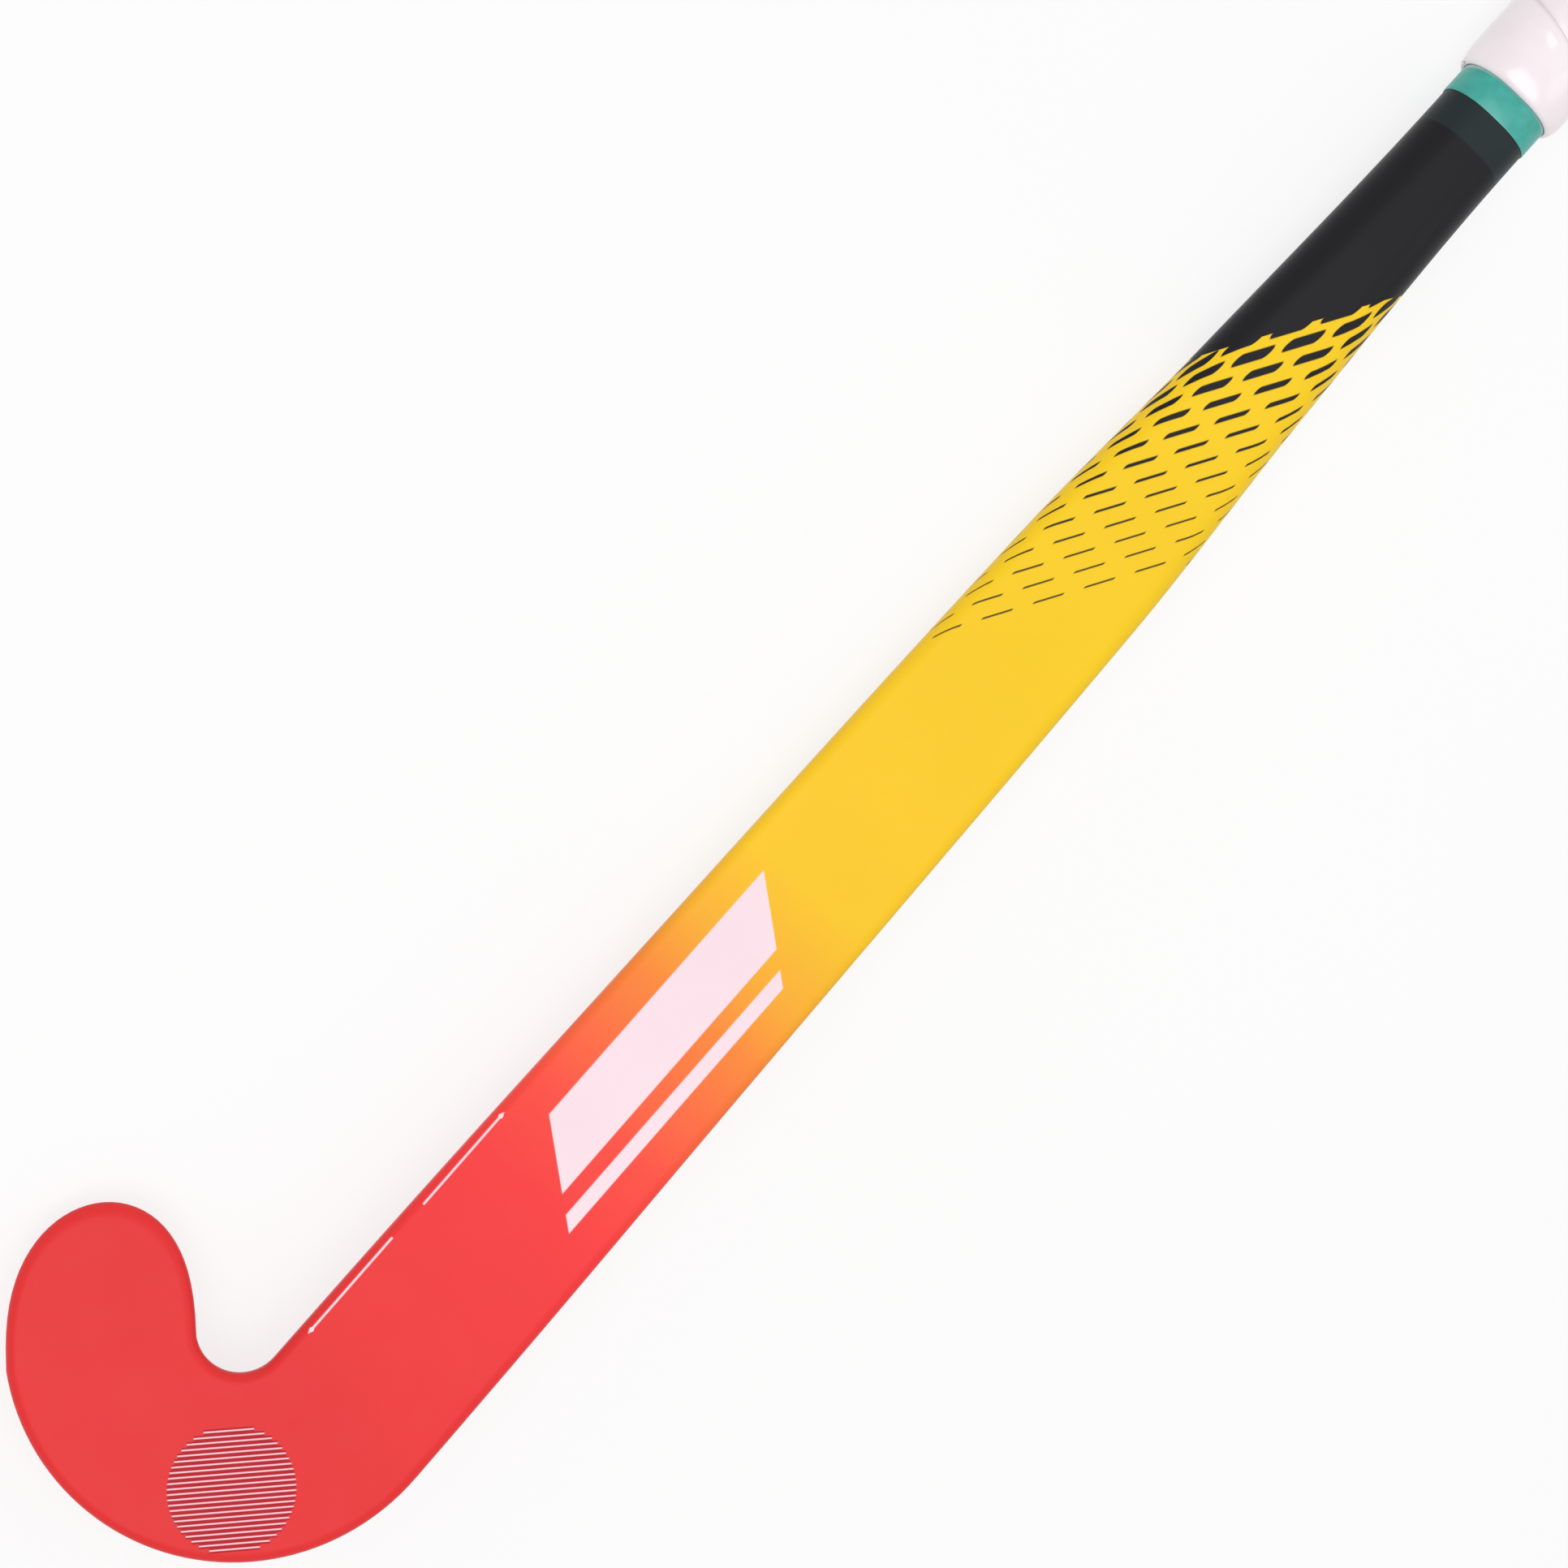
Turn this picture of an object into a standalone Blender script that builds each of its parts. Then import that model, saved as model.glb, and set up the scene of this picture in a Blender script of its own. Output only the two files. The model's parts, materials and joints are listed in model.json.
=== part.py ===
"""Field hockey stick: a moulded composite shell over two inner tubes, with a wound grip.

The design frame is in millimetres: X runs from the base of the head to the butt, Y towards the toe
and Z out of the flat playing face. At the end the stick is laid on its back, as it rests on a floor.
"""
import math

import bmesh
import bpy
import numpy as np
from mathutils import Euler, Vector

MM = 0.001

# Overall
LENGTH = 927.0           # base of the head to the end of the butt cap
GRIP_START = 547.0       # base of the head to the lower end of the grip
CLEARANCE = 0.3          # gap between pieces that touch or are bonded

# Head, seen on the flat face
HEAD_WIDTH = 50.2        # across the hook and the lowest part of the shaft
HOOK_RADIUS = 37.0       # middle line of the hook
HOOK_SWEEP = 129.0       # degrees from the shaft round to the toe
TOE_LENGTH = 39.5        # from the end of the hook to the tip of the toe
TOE_FULLNESS = 2.6       # 2 gives an elliptical toe, more gives a squarer one
TOE_LEAN = 0.12          # how far the toe leans in towards the shaft, as a share of its length
HEAD_THICKNESS = 20.5    # where the hook meets the shaft
TOE_THICKNESS = 18.5     # where the hook meets the toe
HEAD_RIM = 3.0           # radius between the flat face and the sides

# Shaft: stations from the base of the head, and the sizes there
THROAT_AT = 100.0
LOWER_AT = 200.0
MIDDLE_AT = 365.0
TAPER_AT = 440.0
HANDLE_AT = 536.0
THROAT_WIDTH = 49.9
LOWER_WIDTH = 47.2
MIDDLE_WIDTH = 42.0
TAPER_WIDTH = 34.4
HANDLE_WIDTH = 28.3
LOWER_THICKNESS = 21.5
MIDDLE_THICKNESS = 23.5
HANDLE_THICKNESS = 25.0
MIDDLE_RIM = 5.0
TAPER_RIM = 8.5
HANDLE_RIM = 11.5
BACK_FULLNESS = 2.4      # 2 gives an elliptical back, more gives a squarer one

# Bow of the shaft, which leaves the face hollow along its length
BOW_FROM = 127.0
BOW_ANGLE = 5.8          # degrees between the face of the head and the face of the handle

# Laminate
WALL = 2.2               # outer shell
PLY = 0.6                # carbon stiffening plies inside the shell
TUBE_WALL = 0.9          # inner tubes
CORE_END = 108.0         # base of the head to the end of the head core

# Handle
PLUG_DEPTH = 38.0
CAP_THICKNESS = 4.0
CAP_BEVEL = 1.2
UNDERLAY = 0.7
UNDERLAY_SETBACK = 3.0   # the underlay stops short of both ends of the tape
COLLAR_WIDTH = 8.8
COLLAR_THICKNESS = 0.4

# Grip tape, one strip wound from the collar to the butt
TAPE_THICKNESS = 1.3     # at its edges
TAPE_CROWN = 0.5         # extra thickness in the middle of the strip
TAPE_PITCH = 26.5
TAPE_GAP = 0.6           # along the handle, between one turn and the next
TAPE_TIP = 0.8           # width of the strip at its two cut ends
TAPE_EDGE_SHARE = 0.12   # share of the strip's width that each rounded edge takes
TAPE_EDGE_HEIGHT = 0.45  # height of the square part of the edge, as a share of the thickness
LEAST_TAPE_GAP = 0.4

# Pose on the floor: on its back, leaning on the toe, in degrees
REST_ROLL = -14.7
REST_PITCH = 3.35

# Mesh density
RIM_STEPS = 4
BACK_STEPS = 6
HOOK_STEPS = 16
INNER_HOOK_STEPS = 8
TOE_STEPS = 18
INNER_TOE_STEPS = 8
SPAN_STEPS = 3
THIN_RIM = 0.4           # least rim radius left on an inner surface
SHARP_ANGLE = 35.0       # degrees between faces that meet in a sharp edge

# Worked out from the sizes above
SWEEP = math.radians(HOOK_SWEEP)
BOW = math.radians(BOW_ANGLE)
HOOK_X = HOOK_RADIUS + HEAD_WIDTH / 2
SHELL_END = LENGTH - CAP_THICKNESS - CLEARANCE
PLUG_START = SHELL_END - PLUG_DEPTH
LINING_START = CORE_END + CLEARANCE
LINING_END = PLUG_START - CLEARANCE
CORE_INSET = WALL + CLEARANCE
TUBE_INSET = CORE_INSET + PLY + CLEARANCE
GRIP_END = SHELL_END - CLEARANCE
UNDERLAY_OUT = CLEARANCE + UNDERLAY
TAPE_IN = UNDERLAY_OUT + CLEARANCE
TAPE_OUT = TAPE_IN + TAPE_THICKNESS + TAPE_CROWN

WIDTHS = ((HOOK_X, HEAD_WIDTH), (THROAT_AT, THROAT_WIDTH), (LOWER_AT, LOWER_WIDTH),
          (MIDDLE_AT, MIDDLE_WIDTH), (TAPER_AT, TAPER_WIDTH), (HANDLE_AT, HANDLE_WIDTH))
THICKNESSES = ((HOOK_X, HEAD_THICKNESS), (LOWER_AT, LOWER_THICKNESS),
               (MIDDLE_AT, MIDDLE_THICKNESS), (HANDLE_AT, HANDLE_THICKNESS))
RIMS = ((HOOK_X, HEAD_RIM), (LOWER_AT, HEAD_RIM), (MIDDLE_AT, MIDDLE_RIM),
        (TAPER_AT, TAPER_RIM), (HANDLE_AT, HANDLE_RIM))


def smooth_value(points, x):
    """Height at x of a smooth curve through the points that never overshoots them."""
    xs = [p[0] for p in points]
    ys = [p[1] for p in points]
    if x <= xs[0]:
        return ys[0]
    if x >= xs[-1]:
        return ys[-1]
    rises = [(ys[i + 1] - ys[i]) / (xs[i + 1] - xs[i]) for i in range(len(xs) - 1)]
    slopes = [0.0]
    for before, after in zip(rises, rises[1:]):
        turns = before * after <= 0
        slopes.append(0.0 if turns else 2 * before * after / (before + after))
    slopes.append(0.0)
    i = max(k for k in range(len(rises)) if xs[k] <= x)
    span = xs[i + 1] - xs[i]
    t = (x - xs[i]) / span
    low = (1 + 2 * t) * ys[i] + t * span * slopes[i]
    high = (3 - 2 * t) * ys[i + 1] - (1 - t) * span * slopes[i + 1]
    return (1 - t) ** 2 * low + t ** 2 * high


def bow_slope(x):
    return BOW * min(max((x - BOW_FROM) / (HANDLE_AT - BOW_FROM), 0.0), 1.0)


def bow_height(x):
    bent = min(max(x - BOW_FROM, 0.0), HANDLE_AT - BOW_FROM)
    straight = max(x - HANDLE_AT, 0.0)
    return math.tan(bow_slope(x)) * (bent / 2 + straight)


class Station:
    """One cross-section of the stick: its place, its directions and its size."""

    def __init__(self, origin, along, across, width, thickness, rim):
        self.origin = Vector(origin)
        self.along = Vector(along)
        self.across = Vector(across)
        self.out = self.along.cross(self.across)
        self.width = width
        self.thickness = thickness
        self.rim = rim

    def place(self, side, height, ahead=0.0):
        return self.origin + side * self.across + height * self.out + ahead * self.along


def shaft_station(x):
    slope = bow_slope(x)
    along = (math.cos(slope), 0.0, math.sin(slope))
    return Station((x, 0.0, bow_height(x)), along, (0.0, 1.0, 0.0),
                   smooth_value(WIDTHS, x), smooth_value(THICKNESSES, x), smooth_value(RIMS, x))


def hook_station(angle):
    origin = (HOOK_X - HOOK_RADIUS * math.sin(angle), HOOK_RADIUS * (1 - math.cos(angle)), 0.0)
    along = (math.cos(angle), -math.sin(angle), 0.0)
    across = (math.sin(angle), math.cos(angle), 0.0)
    thickness = HEAD_THICKNESS + (TOE_THICKNESS - HEAD_THICKNESS) * angle / SWEEP
    return Station(origin, along, across, HEAD_WIDTH, thickness, HEAD_RIM)


def hook_stations(steps):
    """Stations from the toe round the hook, up to but without the first of the shaft."""
    return [hook_station(SWEEP * (1 - k / steps)) for k in range(steps)]


def shaft_stations(start, end):
    """Stations at start and end, and at the named places and even steps between them."""
    named = (HOOK_X, THROAT_AT, BOW_FROM, LOWER_AT, MIDDLE_AT, TAPER_AT, HANDLE_AT)
    marks = [HANDLE_AT]
    for low, high in zip(named, named[1:]):
        marks += [low + (high - low) * k / SPAN_STEPS for k in range(SPAN_STEPS)]
    between = sorted(x for x in marks if start + CLEARANCE < x < end - CLEARANCE)
    return [shaft_station(x) for x in [start] + between + [end]]


def half_profile(station, inset):
    """(side, height) points of half a section, from the middle of the face to that of the back."""
    half = station.width / 2 - inset
    rim = max(station.rim - inset, THIN_RIM)
    back = station.thickness - 2 * inset - rim
    points = [(0.0, -inset)]
    for k in range(RIM_STEPS + 1):
        angle = math.pi / 2 * (1 - k / RIM_STEPS)
        points.append((half - rim + rim * math.cos(angle), -inset - rim + rim * math.sin(angle)))
    for k in range(1, BACK_STEPS):
        angle = math.pi / 2 * k / BACK_STEPS
        side = half * math.cos(angle) ** (2 / BACK_FULLNESS)
        points.append((side, -inset - rim - back * math.sin(angle) ** (2 / BACK_FULLNESS)))
    points.append((0.0, -inset - rim - back))
    return points


def flipped(points):
    return [(-side, height) for side, height in points]


def mirrored(points):
    return flipped(points)[::-1]


def whole_profile(station, inset):
    half = half_profile(station, inset)
    return half + mirrored(half[1:-1])


def face_band(station, inset, depth):
    """Section of a ply that lines the face and both rims."""
    outer = half_profile(station, inset)[:RIM_STEPS + 1]
    inner = half_profile(station, inset + depth)[:RIM_STEPS + 1]
    return outer + inner[::-1] + flipped(inner[1:]) + mirrored(outer[1:])


def back_band(station, inset, depth):
    """Section of a ply that lines the back."""
    outer = half_profile(station, inset)[RIM_STEPS + 2:]
    inner = half_profile(station, inset + depth)[RIM_STEPS + 2:]
    return outer + mirrored(outer[:-1]) + flipped(inner[:-1]) + inner[::-1]


def tube_profile(station, inset, middle):
    """Half a section that stops short of the middle plane of the stick."""
    return [(max(side, middle), height) for side, height in half_profile(station, inset)]


class Solid:
    """Vertices and faces of one closed piece."""

    def __init__(self):
        self.verts = []
        self.faces = []

    def ring(self, points):
        start = len(self.verts)
        self.verts += points
        return list(range(start, len(self.verts)))

    def skin(self, first, second):
        """Quads between two rings with the same number of points."""
        for i in range(len(first)):
            j = (i + 1) % len(first)
            self.faces.append((first[i], first[j], second[j], second[i]))

    def loft(self, rings):
        for first, second in zip(rings, rings[1:]):
            self.skin(first, second)

    def cap(self, ring):
        self.faces.append(tuple(ring))


def rings_of(solid, stations, profile):
    return [solid.ring([s.place(side, height) for side, height in profile(s)]) for s in stations]


def round_toe(solid, station, ring, inset, steps):
    """Rounded toe: the half section turned about the middle of the first ring of the hook."""
    half = half_profile(station, inset)
    stretch = (TOE_LENGTH - inset) / (station.width / 2 - inset)
    last = len(half) - 1
    fan = [ring[:last + 1]]
    for k in range(1, steps):
        angle = math.pi * k / steps
        ahead = stretch * math.sin(angle) ** (2 / TOE_FULLNESS)
        aside = math.cos(angle) + TOE_LEAN * ahead
        points = [station.place(side * aside, height, -side * ahead) for side, height in half[1:-1]]
        fan.append([ring[0]] + solid.ring(points) + [ring[last]])
    fan.append([ring[0]] + ring[:last:-1] + [ring[last]])
    for first, second in zip(fan, fan[1:]):
        for i in range(last):
            corners = (first[i], second[i], second[i + 1], first[i + 1])
            solid.faces.append(tuple(dict.fromkeys(corners)))


def toe_to(solid, end, inset, hook_steps, toe_steps):
    """Surface from the closed toe to an open end on the shaft; returns the last ring."""
    stations = hook_stations(hook_steps) + shaft_stations(HOOK_X, end)
    rings = rings_of(solid, stations, lambda s: whole_profile(s, inset))
    round_toe(solid, stations[0], rings[0], inset, toe_steps)
    solid.loft(rings)
    return rings[-1]


def outer_shell():
    solid = Solid()
    outside = toe_to(solid, SHELL_END, 0.0, HOOK_STEPS, TOE_STEPS)
    inside = toe_to(solid, SHELL_END, WALL, INNER_HOOK_STEPS, INNER_TOE_STEPS)
    solid.skin(outside, inside)
    return solid


def head_core():
    solid = Solid()
    solid.cap(toe_to(solid, CORE_END, CORE_INSET, INNER_HOOK_STEPS, INNER_TOE_STEPS))
    return solid


def bar(stations, profile):
    """Solid with one section along its length and a flat cap on both ends."""
    solid = Solid()
    rings = rings_of(solid, stations, profile)
    solid.loft(rings)
    solid.cap(rings[0])
    solid.cap(rings[-1])
    return solid


def sleeve(stations, outer_profile, inner_profile):
    """Hollow solid that is open at both ends."""
    solid = Solid()
    outside = rings_of(solid, stations, outer_profile)
    inside = rings_of(solid, stations, inner_profile)
    solid.loft(outside)
    solid.loft(inside)
    solid.skin(outside[0], inside[0])
    solid.skin(outside[-1], inside[-1])
    return solid


def face_ply():
    stations = shaft_stations(LINING_START, LINING_END)
    return bar(stations, lambda s: face_band(s, CORE_INSET, PLY))


def back_ply():
    stations = shaft_stations(LINING_START, LINING_END)
    return bar(stations, lambda s: back_band(s, CORE_INSET, PLY))


def toe_side_tube():
    middle = CLEARANCE / 2
    return sleeve(shaft_stations(LINING_START, LINING_END),
                  lambda s: tube_profile(s, TUBE_INSET, middle),
                  lambda s: tube_profile(s, TUBE_INSET + TUBE_WALL, middle + TUBE_WALL))


def heel_side_tube():
    middle = CLEARANCE / 2
    return sleeve(shaft_stations(LINING_START, LINING_END),
                  lambda s: flipped(tube_profile(s, TUBE_INSET, middle)),
                  lambda s: flipped(tube_profile(s, TUBE_INSET + TUBE_WALL, middle + TUBE_WALL)))


def handle_plug():
    stations = [shaft_station(PLUG_START), shaft_station(SHELL_END)]
    return bar(stations, lambda s: whole_profile(s, CORE_INSET))


def butt_cap():
    solid = Solid()
    steps = ((LENGTH - CAP_THICKNESS, 0.0), (LENGTH - CAP_BEVEL, 0.0), (LENGTH, CAP_BEVEL))
    rings = []
    for x, cut in steps:
        rings += rings_of(solid, [shaft_station(x)], lambda s: whole_profile(s, cut - TAPE_OUT))
    solid.loft(rings)
    solid.cap(rings[0])
    solid.cap(rings[-1])
    return solid


def grip_underlay():
    ends = (GRIP_START + UNDERLAY_SETBACK, GRIP_END - UNDERLAY_SETBACK)
    return sleeve([shaft_station(x) for x in ends],
                  lambda s: whole_profile(s, -UNDERLAY_OUT), lambda s: whole_profile(s, -CLEARANCE))


def grip_collar():
    end = GRIP_START - CLEARANCE
    return sleeve(shaft_stations(end - COLLAR_WIDTH, end),
                  lambda s: whole_profile(s, -CLEARANCE - COLLAR_THICKNESS),
                  lambda s: whole_profile(s, -CLEARANCE))


def tape_section(low, high):
    """(along, height) points of the strip's section between its two edges."""
    edge = TAPE_EDGE_SHARE * (high - low)
    square = TAPE_IN + TAPE_EDGE_HEIGHT * TAPE_THICKNESS
    top = TAPE_IN + TAPE_THICKNESS
    return ((low, TAPE_IN), (low, square), (low + edge, top), ((low + high) / 2, top + TAPE_CROWN),
            (high - edge, top), (high, square), (high, TAPE_IN))


def turn_shares():
    """Share of one turn, from the middle of the back, at which each point of the section is reached."""
    profile = whole_profile(shaft_station(GRIP_START), -TAPE_IN)
    ring = np.roll(np.array(profile), -(len(profile) // 2), axis=0)
    steps = np.hypot(*(np.roll(ring, -1, axis=0) - ring).T)
    return np.concatenate(([0.0], np.cumsum(steps)[:-1])) / steps.sum()


def report_tape_gap(solid, per_turn, per_section):
    """Print the least distance between points of the strip that are half a turn or more apart."""
    points = np.array([tuple(v) for v in solid.verts])
    step = np.arange(len(points)) // per_section
    least = math.inf
    for i, point in enumerate(points):
        far = points[step > step[i] + per_turn // 2]
        if len(far):
            least = min(least, float(np.linalg.norm(far - point, axis=1).min()))
    print(f"grip_tape: least gap to itself {least:.2f} mm, wanted over {LEAST_TAPE_GAP} mm")


def grip_tape():
    solid = Solid()
    shares = turn_shares()
    first_edge = GRIP_START + TAPE_TIP
    rings = []
    turn = 0
    done = False
    while not done:
        for i, share in enumerate(shares):
            lead = first_edge + TAPE_PITCH * (turn + share)
            low = max(lead - TAPE_PITCH + TAPE_GAP, GRIP_START)
            high = min(lead, GRIP_END)
            if high - low < TAPE_TIP - CLEARANCE:
                done = True
                break
            points = []
            for x, height in tape_section(low, high):
                station = shaft_station(x)
                profile = whole_profile(station, -height)
                points.append(station.place(*profile[i - len(profile) // 2]))
            rings.append(solid.ring(points))
        turn += 1
    solid.loft(rings)
    solid.cap(rings[0])
    solid.cap(rings[-1])
    report_tape_gap(solid, len(shares), len(rings[0]))
    return solid


# name, builder, colour, roughness, metallic
PIECES = (
    ("outer_shell", outer_shell, (0.93, 0.42, 0.12), 0.30, 0.0),
    ("head_core", head_core, (0.62, 0.55, 0.40), 0.80, 0.0),
    ("face_ply", face_ply, (0.03, 0.03, 0.035), 0.45, 0.0),
    ("back_ply", back_ply, (0.03, 0.03, 0.035), 0.45, 0.0),
    ("toe_side_tube", toe_side_tube, (0.70, 0.68, 0.55), 0.55, 0.0),
    ("heel_side_tube", heel_side_tube, (0.70, 0.68, 0.55), 0.55, 0.0),
    ("handle_plug", handle_plug, (0.08, 0.08, 0.09), 0.60, 0.0),
    ("butt_cap", butt_cap, (0.10, 0.10, 0.11), 0.60, 0.0),
    ("grip_underlay", grip_underlay, (0.25, 0.25, 0.26), 0.90, 0.0),
    ("grip_tape", grip_tape, (0.92, 0.90, 0.90), 0.45, 0.0),
    ("grip_collar", grip_collar, (0.07, 0.45, 0.39), 0.40, 0.0),
)


def clear_scene():
    for old in list(bpy.data.objects):
        bpy.data.objects.remove(old, do_unlink=True)


def make_material(name, colour, roughness, metallic):
    material = bpy.data.materials.new(name)
    material.use_nodes = True
    shader = material.node_tree.nodes["Principled BSDF"]
    shader.inputs["Base Color"].default_value = (*colour, 1.0)
    shader.inputs["Roughness"].default_value = roughness
    shader.inputs["Metallic"].default_value = metallic
    return material


def make_object(name, solid, material, collection):
    mesh = bpy.data.meshes.new(name)
    mesh.from_pydata([v * MM for v in solid.verts], [], solid.faces)
    work = bmesh.new()
    work.from_mesh(mesh)
    bmesh.ops.recalc_face_normals(work, faces=work.faces)
    work.to_mesh(mesh)
    work.free()
    mesh.shade_smooth()
    mesh.set_sharp_from_angle(angle=math.radians(SHARP_ANGLE))
    mesh.materials.append(material)
    piece = bpy.data.objects.new(name, mesh)
    collection.objects.link(piece)
    return piece


def rest_on_floor(pieces, collection):
    """Turn the stick to the way it lies, with the middle of its box's underside at the origin."""
    rest = bpy.data.objects.new("stick_rest", None)
    collection.objects.link(rest)
    rest.rotation_euler = Euler((math.radians(REST_ROLL), math.radians(REST_PITCH), 0.0))
    turn = np.array(rest.rotation_euler.to_matrix())
    corners = np.concatenate([[v.co for v in p.data.vertices] for p in pieces]) @ turn.T
    low = corners.min(axis=0)
    high = corners.max(axis=0)
    rest.location = (-(low[0] + high[0]) / 2, -(low[1] + high[1]) / 2, -low[2])
    for piece in pieces:
        piece.parent = rest


def build():
    clear_scene()
    collection = bpy.data.collections.new("field_hockey_stick")
    bpy.context.scene.collection.children.link(collection)
    pieces = []
    for name, builder, colour, roughness, metallic in PIECES:
        material = make_material(name, colour, roughness, metallic)
        pieces.append(make_object(name, builder(), material, collection))
    rest_on_floor(pieces, collection)


build()
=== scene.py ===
"""Looks of the field hockey stick: printed body, wound grip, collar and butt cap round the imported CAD."""
import json
import math

import bmesh
import bpy
import numpy as np
from mathutils import Euler, Matrix, Vector


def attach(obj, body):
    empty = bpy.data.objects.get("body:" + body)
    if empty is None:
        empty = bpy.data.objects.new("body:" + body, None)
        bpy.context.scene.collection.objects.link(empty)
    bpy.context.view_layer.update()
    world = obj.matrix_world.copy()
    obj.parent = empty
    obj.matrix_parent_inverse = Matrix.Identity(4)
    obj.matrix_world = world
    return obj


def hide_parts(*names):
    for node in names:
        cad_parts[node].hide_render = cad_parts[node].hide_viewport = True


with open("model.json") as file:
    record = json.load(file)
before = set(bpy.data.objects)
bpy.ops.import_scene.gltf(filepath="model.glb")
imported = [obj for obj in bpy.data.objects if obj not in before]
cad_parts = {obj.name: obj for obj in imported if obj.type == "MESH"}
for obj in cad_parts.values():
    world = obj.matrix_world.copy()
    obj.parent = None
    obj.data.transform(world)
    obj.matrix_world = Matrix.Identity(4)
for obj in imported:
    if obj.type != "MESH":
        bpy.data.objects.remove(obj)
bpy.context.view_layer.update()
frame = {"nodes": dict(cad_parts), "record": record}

MM = 0.001

# Sizes of the CAD part that the dressed pieces follow, in millimetres in the stick's own frame:
# X from the base of the head to the butt, Y towards the toe, Z out of the playing face
LENGTH = 927.0
GRIP_START = 547.0
HEAD_WIDTH = 50.2
HOOK_RADIUS = 37.0
HOOK_SWEEP = math.radians(129.0)
TOE_LENGTH = 39.5
TOE_FULLNESS = 2.6
TOE_LEAN = 0.12
HEAD_THICKNESS = 20.5
TOE_THICKNESS = 18.5
HEAD_RIM = 3.0
THIN_RIM = 0.4
WALL = 2.2
HANDLE_AT = 536.0
BACK_FULLNESS = 2.4
BOW_FROM = 127.0
BOW = math.radians(5.8)
CAP_THICKNESS = 4.0
CLEARANCE = 0.3
COLLAR_WIDTH = 8.8
GRIP_OUT = 3.1
TAPE_PITCH = 26.5
HOOK_X = HOOK_RADIUS + HEAD_WIDTH / 2
SHELL_END = LENGTH - CAP_THICKNESS - CLEARANCE
GRIP_END = SHELL_END - CLEARANCE
WIDTHS = ((HOOK_X, HEAD_WIDTH), (100.0, 49.9), (200.0, 47.2), (365.0, 42.0), (440.0, 34.4),
          (HANDLE_AT, 28.3))
THICKNESSES = ((HOOK_X, HEAD_THICKNESS), (200.0, 21.5), (365.0, 23.5), (HANDLE_AT, 25.0))
RIMS = ((HOOK_X, HEAD_RIM), (200.0, HEAD_RIM), (365.0, 5.0), (440.0, 8.5), (HANDLE_AT, 11.5))

# Density of the dressed meshes
RIM_STEPS = 8
BACK_STEPS = 16
HOOK_STEPS = 48
TOE_STEPS = 36
SHAFT_STEP = 6.0
FLAT_SHARES = (0.5, 0.9, 0.985)
TURN_STEPS = 72

# Camera, in the stick's own frame
CAMERA_AT = (117.6, 159.9, 1044.6)
CAMERA_TARGET = (267.98, 24.25, 0.09)
CAMERA_UP = (0.7439, 0.6679, 0.0204)
FOCAL_PIXELS = 4800.0
PHOTO_PIXELS = 1932.0
SENSOR = 36.0


def srgb(r, g, b):
    """Linear colour of an sRGB one given as 0 to 255."""
    def channel(c):
        c = c / 255.0
        return c / 12.92 if c <= 0.04045 else ((c + 0.055) / 1.055) ** 2.4
    return (channel(r), channel(g), channel(b), 1.0)


# Section sizes and places along the stick

def smooth_value(points, x):
    """Height at x of a smooth curve through the points that never overshoots them."""
    xs = [p[0] for p in points]
    ys = [p[1] for p in points]
    if x <= xs[0]:
        return ys[0]
    if x >= xs[-1]:
        return ys[-1]
    rises = [(ys[i + 1] - ys[i]) / (xs[i + 1] - xs[i]) for i in range(len(xs) - 1)]
    slopes = [0.0]
    for before, after in zip(rises, rises[1:]):
        turns = before * after <= 0
        slopes.append(0.0 if turns else 2 * before * after / (before + after))
    slopes.append(0.0)
    i = max(k for k in range(len(rises)) if xs[k] <= x)
    span = xs[i + 1] - xs[i]
    t = (x - xs[i]) / span
    low = (1 + 2 * t) * ys[i] + t * span * slopes[i]
    high = (3 - 2 * t) * ys[i + 1] - (1 - t) * span * slopes[i + 1]
    return (1 - t) ** 2 * low + t ** 2 * high


def bow_slope(x):
    """Angle of the shaft to the face of the head at x."""
    return BOW * min(max((x - BOW_FROM) / (HANDLE_AT - BOW_FROM), 0.0), 1.0)


def bow_height(x):
    """Height of the shaft's face over that of the head at x."""
    bent = min(max(x - BOW_FROM, 0.0), HANDLE_AT - BOW_FROM)
    straight = max(x - HANDLE_AT, 0.0)
    return math.tan(bow_slope(x)) * (bent / 2 + straight)


class Station:
    """One cross-section of the stick: its place, its directions and its size."""

    def __init__(self, origin, along, across, width, thickness, rim):
        self.origin = Vector(origin)
        self.along = Vector(along)
        self.across = Vector(across)
        self.out = self.along.cross(self.across)
        self.width = width
        self.thickness = thickness
        self.rim = rim

    def place(self, side, height, ahead=0.0):
        """Point of the stick at a place in or near the section."""
        return self.origin + side * self.across + height * self.out + ahead * self.along


def shaft_station(x):
    """Section at x along the shaft."""
    slope = bow_slope(x)
    along = (math.cos(slope), 0.0, math.sin(slope))
    return Station((x, 0.0, bow_height(x)), along, (0.0, 1.0, 0.0),
                   smooth_value(WIDTHS, x), smooth_value(THICKNESSES, x), smooth_value(RIMS, x))


def hook_station(angle):
    """Section at an angle round the hook, counted from the shaft."""
    origin = (HOOK_X - HOOK_RADIUS * math.sin(angle), HOOK_RADIUS * (1 - math.cos(angle)), 0.0)
    along = (math.cos(angle), -math.sin(angle), 0.0)
    across = (math.sin(angle), math.cos(angle), 0.0)
    thickness = HEAD_THICKNESS + (TOE_THICKNESS - HEAD_THICKNESS) * angle / HOOK_SWEEP
    return Station(origin, along, across, HEAD_WIDTH, thickness, HEAD_RIM)


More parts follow.
